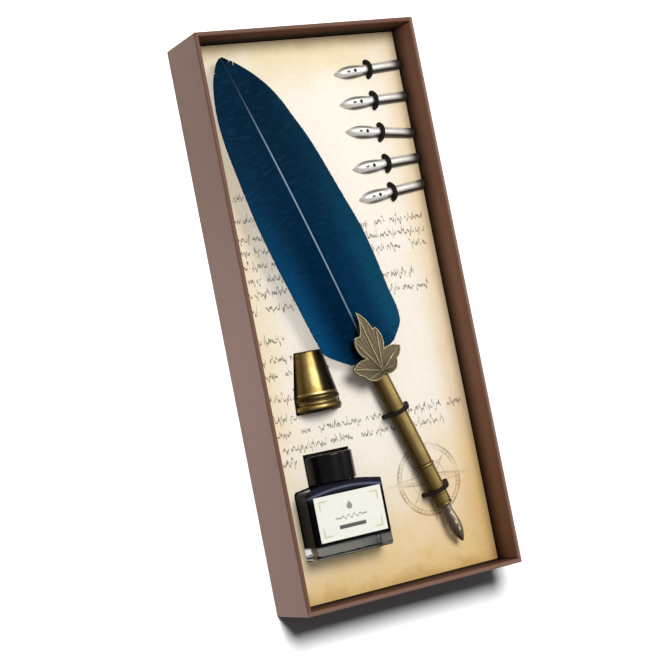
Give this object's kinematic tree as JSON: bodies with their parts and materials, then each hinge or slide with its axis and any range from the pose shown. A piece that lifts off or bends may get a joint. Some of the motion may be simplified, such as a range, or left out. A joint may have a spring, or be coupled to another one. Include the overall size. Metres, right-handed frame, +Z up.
{
  "type": "quill pen gift box",
  "caption": "Open card gift tray holding a feather dip pen, spare nibs, a conical brass pen stand and a square ink bottle on a parchment-look insert with elastic cords.",
  "frame": {"origin": "middle of the tray's underside", "axes": "+X across the tray, away from the bottle's side; +Y along the tray towards the feather's tip; +Z up out of the tray"},
  "size_m": [0.127, 0.29, 0.034],
  "materials": {
    "wrap_paper": "matt",
    "insert_card": "matt",
    "parchment": "matt",
    "elastic_cord": "woven",
    "quill": "satin",
    "feather": "satin",
    "antique_brass": "satin",
    "leaf_metal": "satin",
    "nib_steel": "polished",
    "bottle_glass": "clear",
    "ink": "gloss",
    "label_paper": "matt",
    "cap_plastic": "satin",
    "liner_card": "matt"
  },
  "bodies": {
    "tray": {"tray_base": "wrap_paper", "tray_wall_left": "wrap_paper", "tray_wall_right": "wrap_paper", "tray_wall_head": "wrap_paper", "tray_wall_foot": "wrap_paper"},
    "insert": {"insert_platform": "insert_card", "insert_sheet": "parchment", "pen_tie_upper": "elastic_cord", "pen_tie_lower": "elastic_cord", "nib_tie_1": "elastic_cord", "nib_tie_2": "elastic_cord", "nib_tie_3": "elastic_cord", "nib_tie_4": "elastic_cord", "nib_tie_5": "elastic_cord"},
    "pen": {"feather_shaft": "quill", "feather_vane_left": "feather", "feather_vane_right": "feather", "feather_socket": "antique_brass", "pen_barrel": "antique_brass", "leaf_ornament": "leaf_metal", "grip_ring": "antique_brass", "grip_section": "antique_brass", "nib_ferrule": "antique_brass"},
    "nib": {"pen_nib": "nib_steel"},
    "bottle": {"bottle_glass": "bottle_glass", "bottle_ink": "ink", "bottle_label": "label_paper"},
    "liner": {"cap_liner": "liner_card"},
    "cap": {"bottle_cap": "cap_plastic"},
    "stand": {"pen_stand": "antique_brass"},
    "spare_1": {"spare_nib_1": "nib_steel"},
    "spare_2": {"spare_nib_2": "nib_steel"},
    "spare_3": {"spare_nib_3": "nib_steel"},
    "spare_4": {"spare_nib_4": "nib_steel"},
    "spare_5": {"spare_nib_5": "nib_steel"}
  },
  "joints": [
    {"name": "insert_lift", "type": "slide", "parent": "tray", "child": "insert", "axis": [0, 0, 1], "range_m": [0, 0.06]},
    {"name": "pen_lift", "type": "slide", "parent": "insert", "child": "pen", "axis": [0, 0, 1], "range_m": [0, 0.06], "deforming": ["pen_tie_upper", "pen_tie_lower"]},
    {"name": "pen_nib_pull", "type": "slide", "parent": "pen", "child": "nib", "axis": [0.309, -0.9511, 0], "range_m": [0, 0.012]},
    {"name": "stand_lift", "type": "slide", "parent": "tray", "child": "stand", "axis": [0, 0, 1], "range_m": [0, 0.06], "deforming": ["feather_vane_left"]},
    {"name": "bottle_lift", "type": "slide", "parent": "tray", "child": "bottle", "axis": [0, 0, 1], "range_m": [0, 0.06]},
    {"name": "cap_rise", "type": "slide", "parent": "bottle", "child": "liner", "axis": [0, 1, 0], "range_m": [0, 0.00125]},
    {"name": "cap_turn", "type": "hinge", "parent": "liner", "child": "cap", "pos_m": [-0.0274, -0.0769, 0.016], "axis": [0, 1, 0], "range_deg": [0, 150]},
    {"name": "spare_nib_1_draw", "type": "slide", "parent": "insert", "child": "spare_1", "axis": [-0.998, -0.0628, 0], "range_m": [0, 0.0225]},
    {"name": "spare_nib_2_draw", "type": "slide", "parent": "insert", "child": "spare_2", "axis": [-0.9995, -0.0332, 0], "range_m": [0, 0.0225]},
    {"name": "spare_nib_3_draw", "type": "slide", "parent": "insert", "child": "spare_3", "axis": [-0.9938, 0.1115, 0], "range_m": [0, 0.0225]},
    {"name": "spare_nib_4_draw", "type": "slide", "parent": "insert", "child": "spare_4", "axis": [-0.9985, -0.0541, 0], "range_m": [0, 0.0225]},
    {"name": "spare_nib_5_draw", "type": "slide", "parent": "insert", "child": "spare_5", "axis": [-0.9947, -0.1028, 0], "range_m": [0, 0.0225]}
  ],
  "couplings": [
    {"joint": "cap_rise", "follows": "cap_turn", "m_per_rad": 0.00047746}
  ]
}
